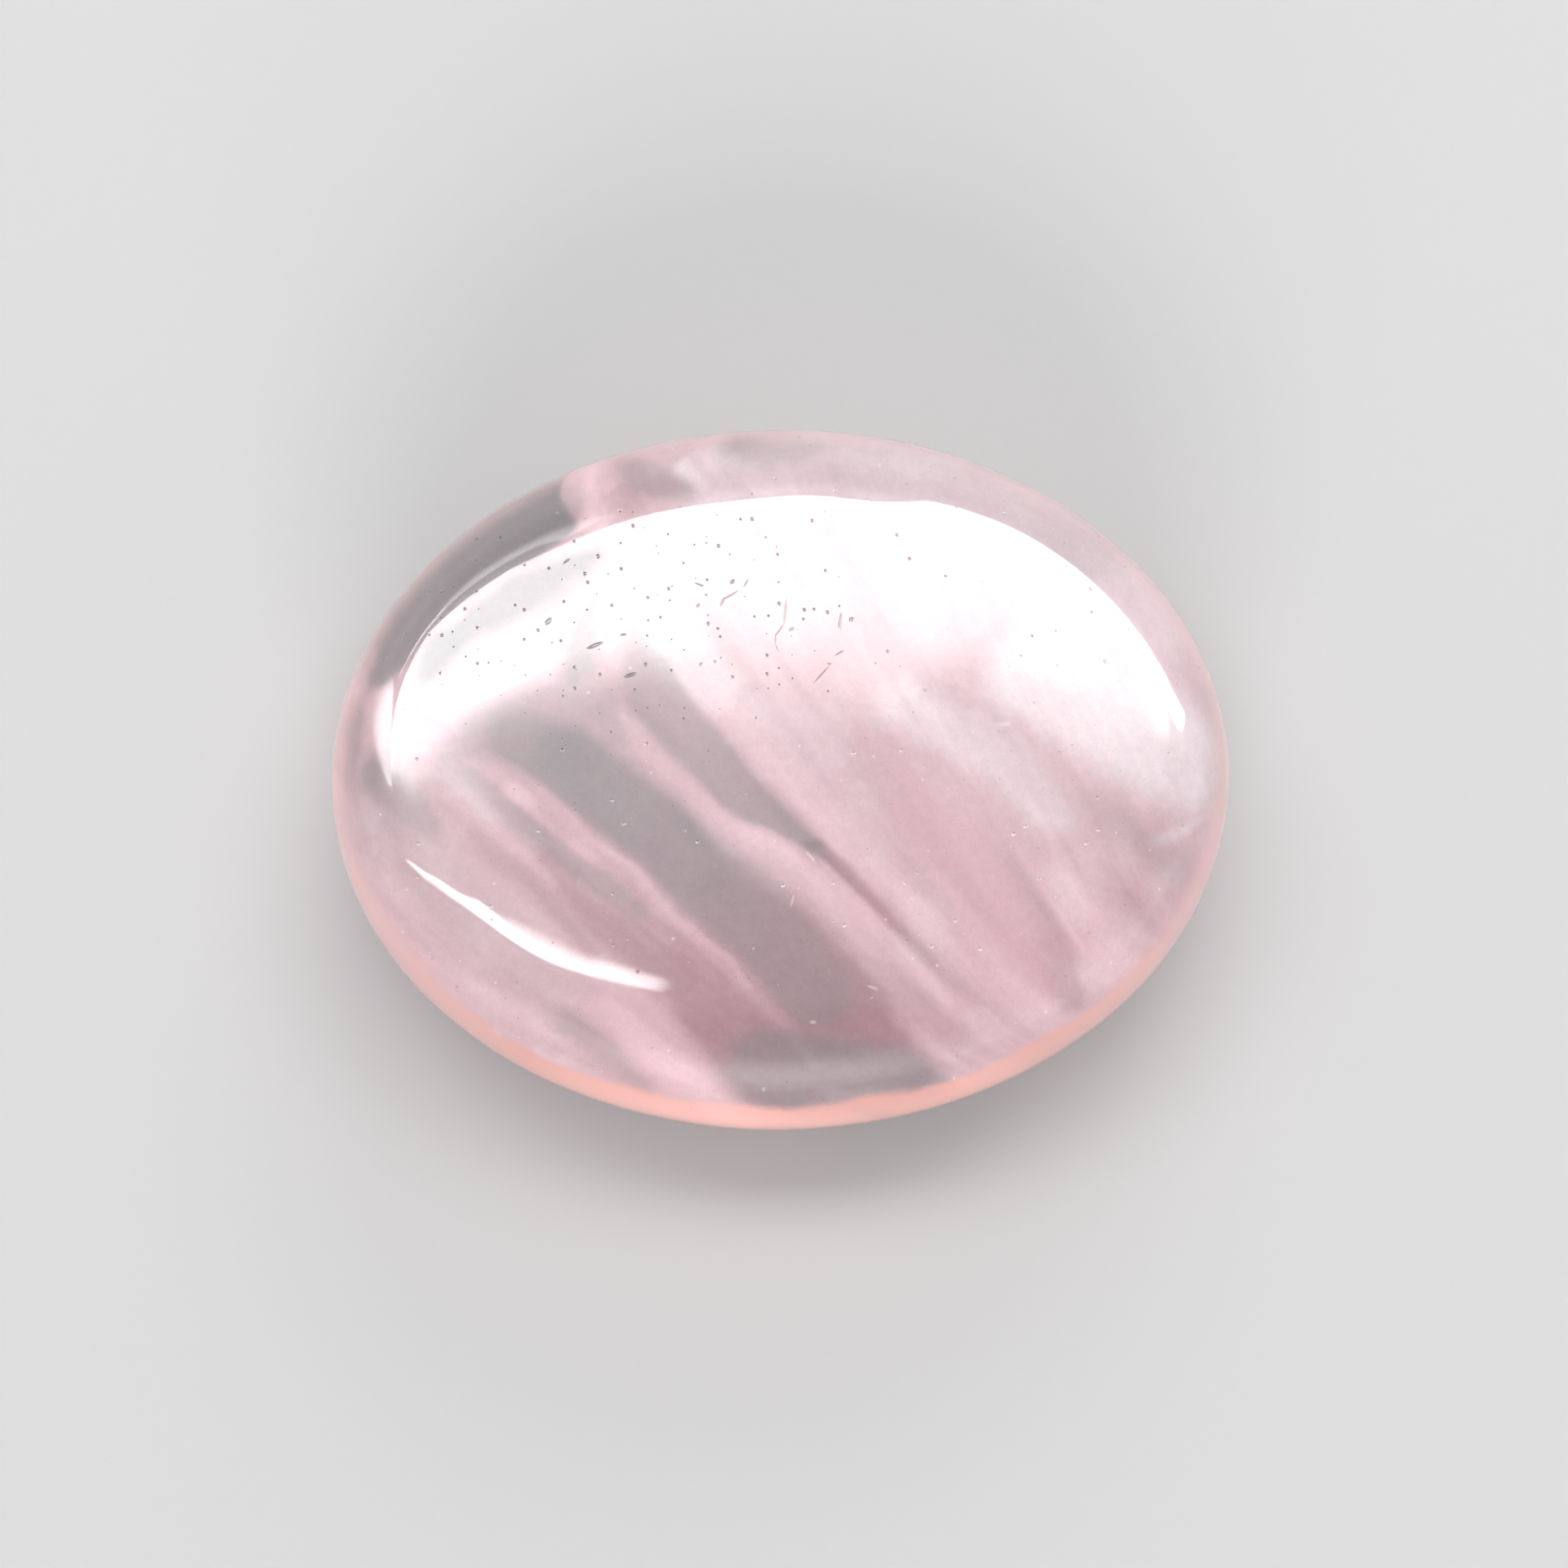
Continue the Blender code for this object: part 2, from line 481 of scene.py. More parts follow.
# The pale haze; next to the highlight it is partly a painted glow that stands in for the highlight's soft
# edge
HAZE_AND_PAINTED_GLOW_VEILS = [
    Veil(
        [(-22.0, 4.4), (-17.0, 7.0), (-11.0, 9.6), (-6.0, 12.4)],
        [0.8, 1.4, 1.6, 1.2], 2.0, 2.0, 0.6, 0.4,
    ),
    Veil([(-2.0, 2.6), (3.0, 0.6)], [0.6, 0.8], 2.0, 2.4, 0.4, 0.3),
    Veil([(12.4, 1.6), (14.9, 1.1)], [0.02, 0.08], 0.35, 0.35, 0.4, 0.6),
    Veil([(12.6, 0.2), (14.8, -0.1)], [0.02, 0.05], 0.3, 0.3, 0.3, 0.5),
    Veil([(-8.0, 9.0), (-6.4, 6.0), (-4.2, 3.6)], [1.0, 1.2, 0.8], 2.2, 1.6, 0.75, 0.6),
    Veil([(8.0, 2.6), (14.0, -1.0), (17.6, -5.0)], [0.8, 1.0, 0.8], 2.6, 2.0, 0.65, 0.6),
    Veil([(17.9, -9.4), (19.0, -11.4)], [0.3, 0.3], 1.8, 1.8, 0.4, 0.4),
    Veil([(17.0, 4.0), (22.0, 1.6), (26.4, -2.0)], [1.8, 2.4, 1.8], 3.0, 3.0, 0.8, 0.85),
    Veil([(24.4, -7.0), (26.7, -5.6)], [0.15, 0.1], 0.8, 0.8, 0.5, 0.5),
    Veil([(-21.6, -1.2), (-19.4, -4.4)], [0.3, 0.4], 1.4, 1.4, 0.5, 0.4),
    Veil([(-24.6, -8.0), (-21.0, -12.6), (-15.6, -17.2)], [1.4, 1.2, 1.0], 2.6, 3.0, 0.25, 0.25),
    Veil([(-6.6, 19.3), (-5.0, 18.2)], [0.35, 0.3], 0.9, 0.9, 0.7, 0.7),
    Veil(
        [(-4.0, 18.4), (3.0, 19.6), (10.0, 18.4), (18.0, 14.2), (24.6, 8.0)],
        [1.4, 2.0, 2.0, 2.0, 1.6], 3.0, 3.0, 0.5, 0.5,
    ),
]
# Warmer places in the rose ground
BLUSH_VEILS = [
    Veil([(0.4, 2.8), (6.2, 2.4)], [1.0, 0.8], 2.8, 2.8, 0.2, 0.25),
    Veil(
        [(4.9, 1.4), (9.1, -4.4), (12.3, -9.0), (14.3, -12.2), (16.5, -15.8)],
        [0.6, 1.0, 1.2, 1.0, 0.6], 1.8, 2.8, 0.3, 0.45,
    ),
    Veil([(-6.2, -12.6), (-9.6, -20.4), (-5.0, -25.0)], [0.8, 1.2, 0.8], 2.4, 2.8, 0.35, 0.35),
    Veil([(-13.2, -20.4), (-9.0, -23.4)], [1.2, 1.2], 2.0, 2.4, 0.5, 0.5),
    Veil([(-12.6, -7.0), (-4.4, -14.8)], [0.3, 0.2], 1.2, 1.6, 0.35, 0.35),
    Veil([(-13.2, 18.0), (-12.0, 19.0)], [1.0, 1.0], 1.4, 0.7, 0.5, 0.5),
    Veil([(1.0, -13.8), (4.6, -17.2)], [0.6, 0.6], 2.0, 2.0, 0.35, 0.35),
]
VEILS = {
    "blush": BLUSH_VEILS,
    "haze_and_painted_glow": HAZE_AND_PAINTED_GLOW_VEILS,
    "deep": DEEP_VEILS,
    "clear": CLEAR_VEILS,
    "ridge": RIDGE_VEILS,
}

# Small marks just under the surface: the ends of a thin ellipse and its half width, in millimetres
RUSTY_MARKS = [
    ((-3.75, 9.8), (-3.5, 10.3), 0.09), ((-3.6, 10.2), (-2.6, 10.8), 0.06),
    ((-2.2, 11.1), (-1.9, 11.6), 0.06), ((0.6, 10.1), (0.4, 8.3), 0.12),
    ((0.4, 8.4), (-0.15, 7.6), 0.06), ((-0.15, 7.7), (-0.2, 6.9), 0.06),
    ((-0.2, 7.0), (0.0, 6.5), 0.05), ((4.2, 9.0), (4.1, 8.0), 0.11),
    ((4.1, 8.4), (4.1, 8.1), 0.14), ((4.3, 6.5), (3.8, 6.2), 0.06),
    ((3.3, 5.4), (2.3, 4.3), 0.06), ((-4.2, 5.9), (-4.2, 5.9), 0.13),
    ((-5.2, 5.7), (-5.1, 5.8), 0.11), ((-5.3, 9.8), (-5.2, 9.9), 0.10),
    ((0.8, 8.0), (1.0, 8.1), 0.10), ((3.3, 5.6), (3.4, 5.6), 0.09),
]
PALE_MARKS = [
    ((0.7, -10.1), (0.5, -10.8), 0.09), ((1.6, -7.2), (2.1, -7.8), 0.09),
    ((5.5, -16.2), (6.0, -16.4), 0.10), ((-2.0, -13.6), (-2.0, -13.6), 0.10),
    ((6.7, -11.8), (6.7, -11.8), 0.09), ((10.0, -14.9), (10.0, -14.9), 0.11),
    ((22.0, -6.1), (22.0, -6.1), 0.09), ((7.0, 19.8), (7.0, 19.7), 0.13),
    ((1.7, -18.5), (1.9, -18.5), 0.13),
]
# Larger pits; their dark colour is partly painted shade for the reflection they lose
DARK_MARKS = [
    ((-15.3, 8.9), (-15.1, 9.1), 0.15), ((-12.5, 7.1), (-11.7, 7.4), 0.12),
    ((-10.1, 5.0), (-9.5, 5.2), 0.13), ((-10.4, 7.9), (-10.1, 7.95), 0.08),
    ((-14.1, 13.1), (-13.8, 13.3), 0.08), ((4.85, 8.65), (4.9, 8.7), 0.13),
    ((-3.0, 11.4), (-2.9, 11.5), 0.12), ((-5.4, 11.4), (-4.9, 11.2), 0.07),
]
PALE_SPECK = (0.95, 0.82, 0.83)
# The pits' colour: partly dirt in them, partly painted shade
PIT_DIRT_AND_SHADE = (0.06, 0.05, 0.06)
RUST = (0.17, 0.07, 0.06)
PIT_DEPTH = 0.045 * MM

# How far a veil leans, sideways for each millimetre down, and where the veils fan out from
VEIL_LEAN = (0.33, 0.30)
FAN_PLACE = (41.0, -55.0)
FAN_REACH = 74.0

# How far the veils' edges waver and over what distance, in millimetres
BROAD_WAVER, BROAD_WAY = 0.25, 4.2
FINE_WAVER, FINE_WAY = 0.12, 1.0

QUARTZ_IOR = 1.544


class Reflection(NamedTuple):
    """A light that the polish mirrors: a sheet across a direction, lit between a lower and an upper line.

    The lines are places on the sheet in metres, along its first side and up it. Soft is how far the
    light takes to grow from each line.
    """

    name: str
    direction: tuple
    along: tuple
    distance: float
    lower: list
    upper: list
    soft: tuple
    radiance: float


WINDOW_DIRECTION = (0.0, 0.402, 0.916)
WINDOW_ALONG = (1.0, 0.0, -0.04)
REFLECTIONS = [
    Reflection(
        "window", WINDOW_DIRECTION, WINDOW_ALONG, 0.9,
        [(-0.64, -0.18), (-0.33, -0.205), (-0.19, -0.20), (-0.15, -0.155), (-0.12, -0.127), (-0.07, -0.111),
         (0.0, -0.131), (0.05, -0.123), (0.12, -0.108), (0.165, -0.132), (0.25, -0.143), (0.45, -0.119),
         (0.675, -0.085), (0.70, 0.05), (0.78, 0.20), (0.85, 0.28)],
        [(-0.64, 0.17), (-0.53, 0.275), (-0.36, 0.19), (-0.27, 0.146), (-0.19, 0.107), (-0.125, 0.056),
         (-0.05, 0.05), (0.01, 0.07), (0.05, 0.10), (0.09, 0.17), (0.15, 0.29), (0.21, 0.35), (0.28, 0.39),
         (0.43, 0.37), (0.54, 0.34), (0.64, 0.30), (0.85, 0.31)],
        (0.09, 0.008), 9.1,
    ),
    Reflection(
        "shoulder", WINDOW_DIRECTION, WINDOW_ALONG, 0.91,
        [(-0.60, 0.31), (-0.49, 0.34), (-0.395, 0.30), (-0.30, 0.26), (-0.21, 0.215), (-0.13, 0.10)],
        [(-0.60, 0.50), (-0.49, 0.52), (-0.395, 0.48), (-0.30, 0.44), (-0.21, 0.38), (-0.13, 0.26)],
        (0.012, 0.15), 4.0,
    ),
    Reflection(
        "sliver", WINDOW_DIRECTION, WINDOW_ALONG, 0.92,
        [(-0.83, 0.29), (-0.70, 0.33), (-0.56, 0.38)],
        [(-0.83, 0.31), (-0.70, 0.40), (-0.56, 0.41)],
        (0.01, 0.01), 9.0,
    ),
    Reflection(
        "strip", (-0.444, -0.011, 0.896), (-0.846, -0.306, -0.444), 0.8,
        [(-0.338, 0.030), (-0.328, 0.020), (-0.314, 0.008), (-0.30, -0.006), (-0.288, -0.022),
         (-0.265, -0.048), (-0.17, -0.028), (0.10, -0.014), (0.313, -0.040), (0.352, -0.032)],
        [(-0.338, 0.040), (-0.318, 0.056), (-0.300, 0.056), (-0.267, 0.066), (-0.222, 0.076),
         (-0.185, 0.072), (-0.148, 0.057), (-0.073, 0.048), (0.169, 0.028), (0.352, -0.020)],
        (0.012, 0.03), 12.0,
    ),
    Reflection(
        "left", (-0.84, 0.42, 0.22), (0.3, 0.6, 0.0), 1.0,
        [(-0.19, -0.60), (-0.15, -0.80), (-0.02, -0.85), (0.07, -0.66), (0.12, -0.45), (0.15, -0.26),
         (0.17, -0.10)],
        [(-0.19, -0.50), (-0.15, -0.25), (-0.10, -0.05), (-0.03, 0.10), (0.05, 0.12), (0.10, 0.08),
         (0.14, -0.05), (0.17, -0.09)],
        (0.04, 0.45), 8.0,
    ),
    Reflection(
        "right", (0.82, 0.37, 0.36), (-0.3, 0.7, 0.0), 1.0,
        [(-0.06, 0.10), (-0.05, 0.0), (-0.014, -0.076), (0.045, 0.051), (0.097, 0.117), (0.139, 0.147),
         (0.181, 0.201), (0.235, 0.281), (0.255, 0.30)],
        [(-0.06, 0.16), (-0.006, 0.305), (0.059, 0.42), (0.106, 0.459), (0.137, 0.417), (0.172, 0.417),
         (0.197, 0.359), (0.249, 0.322), (0.255, 0.31)],
        (0.03, 0.03), 9.0,
    ),
]


class SoftLight(NamedTuple):
    """A light that the polish doesn't mirror, with its distance and size in metres and power in watts."""

    name: str
    direction: tuple
    distance: float
    size: tuple
    power: float


# The fill lies nearer than the window, because sheets at one distance hide each other
SOFT_LIGHTS = [
    SoftLight("fill", (0.0, sin(radians(23.7)), cos(radians(23.7))), 0.87, (1.45, 0.29), 4.5),
    SoftLight("front", (-0.05, -0.88, 0.32), 1.2, (0.8, 0.5), 10.8),
    SoftLight("rear", (0.2, 0.9, 0.35), 1.2, (0.8, 0.5), 5.2),
]
FLOOR_SIDE = 3.0


def roll_width(around, shape):
    """Share of the way out that the rolled edge takes: end_roll at the ends, side_roll at the sides."""
    return shape.end_roll * np.cos(around) ** 2 + shape.side_roll * np.sin(around) ** 2


def dome_share(reach, shape):
    """Height of the dome: one, less dome_fall times the square of the share of the way out."""
    return 1.0 - shape.dome_fall * reach**2


def section(step, around, shape):
    """The share of the way out and the share of the height, for steps from 0, middle, to 1, edge.

    Inside the roll the way out grows evenly with the step. Along the roll a turn goes from 0 to a
    right angle: the height falls with its cosine, and the way out grows with a power of its sine.
    """
    roll = roll_width(around, shape)
    turn = np.clip((step - DOME_ROWS_SHARE) / (1.0 - DOME_ROWS_SHARE), 0.0, 1.0) * np.pi / 2
    on_dome = (1.0 - roll) * np.minimum(step / DOME_ROWS_SHARE, 1.0)
    reach = on_dome + roll * np.sin(turn) ** (2.0 / shape.roll_power)
    return reach, dome_share(reach, shape) * np.cos(turn)


def stone_rows(shape):
    """Rows of points from just off the crown's middle, over the edge, to just off the flat's middle."""
    around = np.linspace(0.0, 2 * np.pi, AROUND, endpoint=False)[None, :]
    crown_steps = (np.arange(1, CROWN_ROWS + 1) / CROWN_ROWS)[:, None]
    reach, share = section(crown_steps, around, shape)
    belly_depth = HEIGHT * shape.equator
    crown_z = belly_depth + (HEIGHT - belly_depth) * share

    flat_step = shape.flat_share / (1.0 - roll_width(around, shape)) * DOME_ROWS_SHARE
    belly_steps = (np.arange(BELLY_ROWS - 1, -1, -1) / BELLY_ROWS)[:, None]
    belly_reach, belly_share = section(flat_step + (1.0 - flat_step) * belly_steps, around, shape)
    belly_z = belly_depth * (1.0 - belly_share / dome_share(shape.flat_share, shape))

    reach = np.vstack([reach, belly_reach])
    z = np.vstack([crown_z, belly_z])
    x = HALF_LENGTH * reach * np.cos(around)
    y = HALF_WIDTH * reach * np.sin(around)
    return np.stack([x, y, z], axis=-1)


def outward(points):
    """Unit normals of the rows, from the cross product of the steps around and along them."""
    around = np.roll(points, -1, axis=1) - np.roll(points, 1, axis=1)
    along = np.gradient(points, axis=0)
    normal = np.cross(along, around)
    return normal / np.linalg.norm(normal, axis=-1, keepdims=True)


def polish_waves(points, shape):
    """Height of the waves: three sines of different lengths and directions, added together."""
    x, y = points[..., 0] / MM, points[..., 1] / MM
    waves = np.sin(0.42 * x + 0.17 * y + 0.6)
    waves = waves + 0.8 * np.sin(-0.21 * x + 0.55 * y + 2.1)
    waves = waves + 0.5 * np.sin(0.66 * x - 0.48 * y + 4.0)
    return shape.wave_height * waves


def stone_surface(shape):
    """The rows with the polish waves added along their normals, level on the flat spot."""
    points = stone_rows(shape)
    lift = polish_waves(points, shape)
    free = np.clip(points[..., 2] / (1.5 * MM), 0.0, 1.0) ** 2
    return points + outward(points) * (lift * free)[..., None]


def closed_faces(rows):
    """Two triangles for each cell between rows, and a fan of triangles at the top and at the bottom."""
    ring = np.arange(AROUND)
    after = np.roll(ring, -1)
    start = (np.arange(rows - 1) * AROUND)[:, None]
    a, b = start + ring, start + after
    c, d = a + AROUND, b + AROUND
    cells = np.concatenate(
        [np.stack([a, c, b], -1).reshape(-1, 3), np.stack([b, c, d], -1).reshape(-1, 3)]
    )
    top, bottom = rows * AROUND, rows * AROUND + 1
    last = (rows - 1) * AROUND
    top_fan = np.stack([np.full(AROUND, top), ring, after], -1)
    bottom_fan = np.stack([np.full(AROUND, bottom), last + after, last + ring], -1)
    return np.concatenate([cells, top_fan, bottom_fan])


def mesh_from(name, points, faces):
    """A smooth mesh from arrays of points and of triangles."""
    mesh = bpy.data.meshes.new(name)
    mesh.vertices.add(len(points))
    mesh.vertices.foreach_set("co", points.astype(np.float32).ravel())
    mesh.loops.add(faces.size)
    mesh.loops.foreach_set("vertex_index", faces.astype(np.int32).ravel())
    mesh.polygons.add(len(faces))
    mesh.polygons.foreach_set("loop_start", np.arange(0, faces.size, 3, dtype=np.int32))
    mesh.polygons.foreach_set("use_smooth", np.ones(len(faces), dtype=bool))
    mesh.update(calc_edges=True)
    mesh.validate()
    return mesh


def value_noise(x, y, size, seed):
    """Smooth noise from -1 to 1: random values at the corners of squares, blended between them."""
    corners = np.random.default_rng(seed).uniform(-1.0, 1.0, (64, 64))
    across, up = x / size + 32.0, y / size + 32.0
    column, row = np.floor(across).astype(int), np.floor(up).astype(int)
    right, rise = across - column, up - row
    right, rise = right**2 * (3.0 - 2.0 * right), rise**2 * (3.0 - 2.0 * rise)
    low = corners[row, column] * (1.0 - right) + corners[row, column + 1] * right
    high = corners[row + 1, column] * (1.0 - right) + corners[row + 1, column + 1] * right
    return low * (1.0 - rise) + high * rise


def veil_cover(x, y, veil):
    """How much a veil covers each place, from 0 to its strength.

    For each stretch of the veil the distance to it is taken, less its half width there, and goes
    evenly to nothing over an edge that is short on the upper side and long on the lower side.
    """
    cover = np.zeros_like(x)
    strengths = np.linspace(veil.strength, veil.last, len(veil.places))
    for start, end, start_width, end_width, start_strength, end_strength in zip(
        veil.places, veil.places[1:], veil.widths, veil.widths[1:], strengths, strengths[1:]
    ):
        line_x, line_y = end[0] - start[0], end[1] - start[1]
        way_x, way_y = x - start[0], y - start[1]
        length = np.hypot(line_x, line_y)
        along = np.clip((way_x * line_x + way_y * line_y) / length**2, 0.0, 1.0)
        distance = np.hypot(way_x - along * line_x, way_y - along * line_y)
        side = (line_x * way_y - line_y * way_x) / (length * np.maximum(distance, 0.01))
        upper = 0.5 + 0.5 * np.clip(side, -1.0, 1.0)
        edge = veil.lower_edge + (veil.upper_edge - veil.lower_edge) * upper
        width = start_width + (end_width - start_width) * along
        strength = start_strength + (end_strength - start_strength) * along
        cover = np.maximum(cover, strength * np.clip(1.0 - (distance - width) / edge, 0.0, 1.0))
    return cover


def veil_attributes(mesh, points):
    """Keeps how much each kind of veil covers every point of the surface."""
    x, y, z = points[:, 0] / MM, points[:, 1] / MM, points[:, 2] / MM
    fall = z - HEIGHT / MM
    x, y = x + VEIL_LEAN[0] * fall, y + VEIL_LEAN[1] * fall
    x = x + BROAD_WAVER * value_noise(x, y, BROAD_WAY, 11) + FINE_WAVER * value_noise(x, y, FINE_WAY, 12)
    y = y + BROAD_WAVER * value_noise(x, y, BROAD_WAY, 13) + FINE_WAVER * value_noise(x, y, FINE_WAY, 14)
    for name, veils in VEILS.items():
        cover = np.max([veil_cover(x, y, veil) for veil in veils], axis=0)
        kept = mesh.attributes.new(name, "FLOAT", "POINT")
        kept.data.foreach_set("value", cover.astype(np.float32))


def mark_cover(graph, place, marks):
    """One in the middle of the nearest mark, eased to nothing past its outline.

    A mark is an ellipse. The way along it and the way across it, as shares of its half length and
    of its half width, are each a dot product with (x, y, 1), and their squares add up to one on
    the outline.
    """
    nearest = 9.0
    for start, end, half_width in marks:
        middle = (np.array(start) + end) / 2
        line = np.array(end) - start
        length = np.hypot(*line)
        ahead = line / length if length else np.array([1.0, 0.0])
        aside = np.array([-ahead[1], ahead[0]])
        along, across = (
            graph.vector("DOT_PRODUCT", place, (*(way / reach), -middle.dot(way) / reach))
            for way, reach in ((ahead, length / 2 + half_width), (aside, half_width))
        )
        squares = graph.math("MULTIPLY_ADD", along, along, graph.math("MULTIPLY", across, across))
        nearest = graph.math("MINIMUM", nearest, squares)
    return graph.ease(nearest, 0.2, 1.4, 1.0, 0.0)


def attribute(graph, name):
    return graph.node("ShaderNodeAttribute", {}, attribute_name=name).outputs["Fac"]


def streaks(graph, place):
    """Broad and fine streaks. They lean with the veils and fan out as the veils do."""
    x, y, z = graph.split(place)
    fall = graph.math("SUBTRACT", z, HEIGHT / MM)
    flat_x = graph.math("MULTIPLY_ADD", fall, VEIL_LEAN[0], x)
    flat_y = graph.math("MULTIPLY_ADD", fall, VEIL_LEAN[1], y)
    flat = graph.join(flat_x, flat_y, 0.0)
    fan_x, fan_y, _ = graph.split(graph.vector("SUBTRACT", flat, (*FAN_PLACE, 0.0)))
    across = graph.math("MULTIPLY", graph.math("ARCTAN2", fan_y, fan_x), FAN_REACH)
    squares = graph.math("ADD", graph.math("POWER", fan_x, 2.0), graph.math("POWER", fan_y, 2.0))
    along = graph.math("MULTIPLY", graph.math("SQRT", squares), 0.13)
    streak_place = graph.join(across, along, graph.math("MULTIPLY", z, 0.3))
    broad = graph.noise(streak_place, 0.42, 3.0).outputs["Fac"]
    fine = graph.noise(streak_place, 1.1, 2.0, 0.5).outputs["Fac"]
    return broad, fine


def banded_colour(graph, finish, place, cover, broad_streaks, fine_streaks, clouds):
    """The rose ground, its streaks and clouds, the veils over it, and a mottle and a grain on all."""
    colour = graph.mix(graph.ease(broad_streaks, 0.36, 0.66, 0.0, 0.30), finish.rose, finish.deep)
    colour = graph.mix(graph.ease(clouds, 0.48, 0.72, 0.0, 0.3), colour, finish.haze_and_painted_glow)
    for name in VEILS:
        colour = graph.mix(cover[name], colour, getattr(finish, name))
    mottle = graph.noise(place, 1.6, 3.0, 0.7).outputs["Fac"]
    grain = graph.noise(place, 8.0, 2.0, 0.8).outputs["Fac"]
    haze = graph.ramp(fine_streaks, 0.25, 0.75, 0.98, 1.02)
    haze = graph.math("MULTIPLY", haze, graph.ramp(mottle, 0.3, 0.7, 0.95, 1.05))
    haze = graph.math("MULTIPLY", haze, graph.ramp(grain, 0.3, 0.7, 0.95, 1.05))
    tinted = graph.node("ShaderNodeCombineColor", {0: haze, 1: haze, 2: haze}).outputs[0]
    return graph.mix(1.0, colour, tinted, blend="MULTIPLY")


def painted_rim_glow(graph, finish, place, over_edge, broad_streaks, clouds):
    """How much of the rim's painted glow each place has, and the glow's colour there.

    The glow is light that comes through the thin stone at the widest level, painted into the colour. It is
    strongest along the front, and has its sharpest upper end there.
    """
    x, y, _ = graph.split(place)
    ragged = graph.math("ADD", over_edge, graph.ramp(clouds, 0.3, 0.7, -0.5, 0.5))
    farther = graph.math("SUBTRACT", ragged, graph.ramp(y, -20.0, 16.0, 0.0, 1.4))
    past_end = graph.math("SUBTRACT", farther, 3.1)
    softly = graph.math("MULTIPLY", past_end, graph.ramp(y, -20.0, -11.0, 1.0, 0.36))
    rim = graph.math("MULTIPLY", graph.ease(softly, 0.5, -0.5), graph.ease(ragged, -4.2, 0.4, 0.12, 1.0))
    # The painted glow is strongest along the front and round the ends, and weakest at the back
    ends = graph.math("MULTIPLY_ADD", graph.math("ABSOLUTE", x), -0.25, graph.math("MULTIPLY", y, 0.8))
    near_side = graph.ease(ends, 12.0, -14.0, 0.42, 1.0)
    streaked = graph.ramp(broad_streaks, 0.3, 0.7, 1.1, 0.85)
    rim = graph.math("MULTIPLY", rim, graph.math("MULTIPLY", near_side, streaked))
    # Painted light: the glow's brightness is set by place, full at the very front, dimmer just behind it,
    # and full again from the middle to the back
    front_to_back = graph.ramp(y, -24.0, 24.0)
    glow = graph.follow(front_to_back, [(0.0, 1.0), (0.1, 0.74), (0.3, 0.86), (0.5, 1.0), (1.0, 1.0)])
    edge = graph.mix(graph.ease(y, -9.0, -21.0), finish.shell, finish.salmon)
    return rim, graph.vector("SCALE", edge, scale=glow)


def fine_marks(graph, place, over_edge):
    """Covers of the rusty marks, the pits and the pale specks, and how dark the pits are, partly dirt and
    partly painted shade.
    """
    x, y, _ = graph.split(place)
    above = graph.math("GREATER_THAN", over_edge, 0.0)
    upper = graph.join(x, y, 1.0)
    rusty = graph.math("MULTIPLY", mark_cover(graph, upper, RUSTY_MARKS), above)

    # One dot of its own size in each cell, and none near the widest level, where they would be drawn out
    cells = graph.node("ShaderNodeTexVoronoi", {"Vector": upper, "Scale": 1.25}, voronoi_dimensions="2D")
    cell_red, cell_green, cell_blue = graph.split(cells.outputs["Color"])
    cell_size = graph.ease(cell_blue, 0.1, 1.3, 0.07, 0.25)
    cell_dot = graph.ease(cells.outputs["Distance"], 0.03, cell_size, 1.0, 0.0)
    level = graph.ease(graph.math("ABSOLUTE", over_edge), 1.8, 3.4)
    cell_dot = graph.math("MULTIPLY", cell_dot, level)

    squeezed = graph.vector("MULTIPLY", upper, (0.55, 1.0, 0.0))
    from_middle = graph.vector("DISTANCE", squeezed, (-5.0, 9.0, 0.0))
    pitted = graph.ease(from_middle, 3.0, 10.0, 0.32, 0.07)
    pits = graph.math("MULTIPLY", cell_dot, graph.math("LESS_THAN", cell_red, pitted))
    pits = graph.math("MAXIMUM", pits, mark_cover(graph, upper, DARK_MARKS))
    pits = graph.math("MULTIPLY", pits, above)
    # Painted shade: the pits are darkest where the highlight lies, standing in for the reflection they lose
    # there
    pit_dirt_and_shade = graph.ease(from_middle, 6.0, 13.0, 0.8, 0.2)

    pale = graph.math("MULTIPLY", mark_cover(graph, upper, PALE_MARKS), above)
    specks = graph.math("MULTIPLY", cell_dot, graph.math("GREATER_THAN", cell_green, 0.97))
    return rusty, pits, graph.math("MAXIMUM", specks, pale), pit_dirt_and_shade


